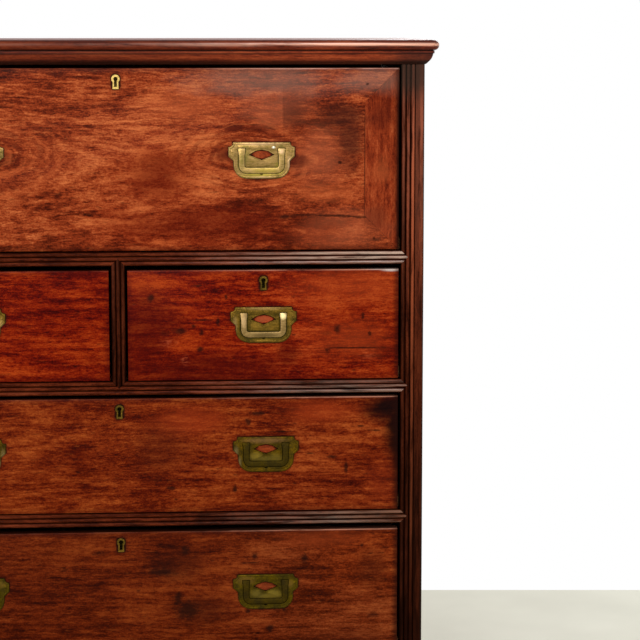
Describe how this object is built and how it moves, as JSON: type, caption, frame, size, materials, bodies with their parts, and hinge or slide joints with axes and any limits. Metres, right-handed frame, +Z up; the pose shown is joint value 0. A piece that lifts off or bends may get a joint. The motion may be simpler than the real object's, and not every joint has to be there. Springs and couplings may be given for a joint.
{
  "type": "campaign chest",
  "caption": "Hardwood campaign chest with reeded frame, moulded top, turned feet, flush brass handles, and a top drawer whose fall front opens to a fitted desk.",
  "frame": {"origin": "middle of the footprint, on the floor", "axes": "+Z up, -Y out of the drawer fronts, +X to the right of a person facing the fronts"},
  "size_m": [0.9548, 0.4774, 1.05],
  "materials": {
    "case_wood": "old polish, dark red-brown, worn pale on the arrises",
    "reeded_wood": "old polish, dark in the quirks and rubbed on the crests",
    "fall_wood": "waxed orange-brown with swirling figure",
    "clamp_wood": "waxed red-brown, upright grain",
    "short_drawer_wood": "waxed deep red with dark flecks",
    "upper_drawer_wood": "waxed dark brown-red with stains",
    "lower_drawer_wood": "waxed dark brown-red",
    "lining_wood": "bare planed softwood, dusty",
    "desk_wood": "polished, satin",
    "handle_brass": "cast brass with an olive patina",
    "bail_brass": "brass rubbed bright by the hand"
  },
  "bodies": {
    "case": {"top_board": "case_wood", "cornice_moulding": "case_wood", "side_left": "case_wood", "side_right": "case_wood", "stile_left": "reeded_wood", "stile_right": "reeded_wood", "back_panel": "lining_wood", "secretaire_rail": "reeded_wood", "middle_rail": "reeded_wood", "lower_rail": "reeded_wood", "base_rail": "reeded_wood", "upper_dust_board": "lining_wood", "middle_dust_board": "lining_wood", "lower_dust_board": "lining_wood", "bottom_board": "lining_wood", "short_drawer_divider": "reeded_wood", "foot_front_left": "case_wood", "foot_back_left": "case_wood", "foot_front_right": "case_wood", "foot_back_right": "case_wood"},
    "secretaire_drawer": {"secretaire_box": "lining_wood", "pigeonholes": "desk_wood", "fall_hinge_left": "handle_brass", "fall_hinge_right": "handle_brass"},
    "fall": {"fall_board": "fall_wood", "fall_clamp_left": "clamp_wood", "fall_clamp_right": "clamp_wood", "fall_lock": "handle_brass", "fall_handle_plate_left": "handle_brass", "fall_handle_plate_right": "handle_brass", "fall_stay_left": "handle_brass", "fall_stay_right": "handle_brass"},
    "fall_bail_left_body": {"fall_bail_left": "bail_brass"},
    "inner_drawer_left_body": {"inner_drawer_left": "desk_wood"},
    "fall_bail_right_body": {"fall_bail_right": "bail_brass"},
    "inner_drawer_right_body": {"inner_drawer_right": "desk_wood"},
    "short_left_drawer": {"short_left_front": "short_drawer_wood", "short_left_box": "lining_wood", "short_left_handle_plate": "handle_brass", "short_left_lock": "handle_brass"},
    "short_left_bail_body": {"short_left_bail": "bail_brass"},
    "short_right_drawer": {"short_right_front": "short_drawer_wood", "short_right_box": "lining_wood", "short_right_handle_plate": "handle_brass", "short_right_lock": "handle_brass"},
    "short_right_bail_body": {"short_right_bail": "bail_brass"},
    "upper_drawer": {"upper_front": "upper_drawer_wood", "upper_box": "lining_wood", "upper_lock": "handle_brass", "upper_handle_plate_left": "handle_brass", "upper_handle_plate_right": "handle_brass"},
    "upper_bail_left_body": {"upper_bail_left": "bail_brass"},
    "upper_bail_right_body": {"upper_bail_right": "bail_brass"},
    "lower_drawer": {"lower_front": "lower_drawer_wood", "lower_box": "lining_wood", "lower_lock": "handle_brass", "lower_handle_plate_left": "handle_brass", "lower_handle_plate_right": "handle_brass"},
    "lower_bail_left_body": {"lower_bail_left": "bail_brass"},
    "lower_bail_right_body": {"lower_bail_right": "bail_brass"}
  },
  "joints": [
    {"name": "secretaire_slide", "type": "slide", "parent": "case", "child": "secretaire_drawer", "axis": [0, -1, 0], "range_m": [0, 0.28]},
    {"name": "fall_hinge", "type": "hinge", "parent": "secretaire_drawer", "child": "fall", "pos_m": [0, -0.20883, 0.7627], "axis": [1, 0, 0], "range_deg": [0, 90]},
    {"name": "fall_bail_left_swing", "type": "hinge", "parent": "fall", "child": "fall_bail_left_body", "pos_m": [-0.2145, -0.2177, 0.8885], "axis": [-1, 0, 0], "range_deg": [0, 95]},
    {"name": "inner_drawer_left_slide", "type": "slide", "parent": "secretaire_drawer", "child": "inner_drawer_left_body", "axis": [0, -1, 0], "range_m": [0, 0.15]},
    {"name": "fall_bail_right_swing", "type": "hinge", "parent": "fall", "child": "fall_bail_right_body", "pos_m": [0.2145, -0.2177, 0.8885], "axis": [-1, 0, 0], "range_deg": [0, 95]},
    {"name": "inner_drawer_right_slide", "type": "slide", "parent": "secretaire_drawer", "child": "inner_drawer_right_body", "axis": [0, -1, 0], "range_m": [0, 0.15]},
    {"name": "short_left_slide", "type": "slide", "parent": "case", "child": "short_left_drawer", "axis": [0, -1, 0], "range_m": [0, 0.3]},
    {"name": "short_left_bail_swing", "type": "hinge", "parent": "short_left_drawer", "child": "short_left_bail_body", "pos_m": [-0.2165, -0.2177, 0.6426], "axis": [-1, 0, 0], "range_deg": [0, 95]},
    {"name": "short_right_slide", "type": "slide", "parent": "case", "child": "short_right_drawer", "axis": [0, -1, 0], "range_m": [0, 0.3]},
    {"name": "short_right_bail_swing", "type": "hinge", "parent": "short_right_drawer", "child": "short_right_bail_body", "pos_m": [0.2165, -0.2177, 0.6426], "axis": [-1, 0, 0], "range_deg": [0, 95]},
    {"name": "upper_slide", "type": "slide", "parent": "case", "child": "upper_drawer", "axis": [0, -1, 0], "range_m": [0, 0.3]},
    {"name": "upper_bail_left_swing", "type": "hinge", "parent": "upper_drawer", "child": "upper_bail_left_body", "pos_m": [-0.2194, -0.2177, 0.44555], "axis": [-1, 0, 0], "range_deg": [0, 95]},
    {"name": "upper_bail_right_swing", "type": "hinge", "parent": "upper_drawer", "child": "upper_bail_right_body", "pos_m": [0.2194, -0.2177, 0.44555], "axis": [-1, 0, 0], "range_deg": [0, 95]},
    {"name": "lower_slide", "type": "slide", "parent": "case", "child": "lower_drawer", "axis": [0, -1, 0], "range_m": [0, 0.3]},
    {"name": "lower_bail_left_swing", "type": "hinge", "parent": "lower_drawer", "child": "lower_bail_left_body", "pos_m": [-0.2182, -0.2177, 0.233], "axis": [-1, 0, 0], "range_deg": [0, 95]},
    {"name": "lower_bail_right_swing", "type": "hinge", "parent": "lower_drawer", "child": "lower_bail_right_body", "pos_m": [0.2182, -0.2177, 0.233], "axis": [-1, 0, 0], "range_deg": [0, 95]}
  ]
}
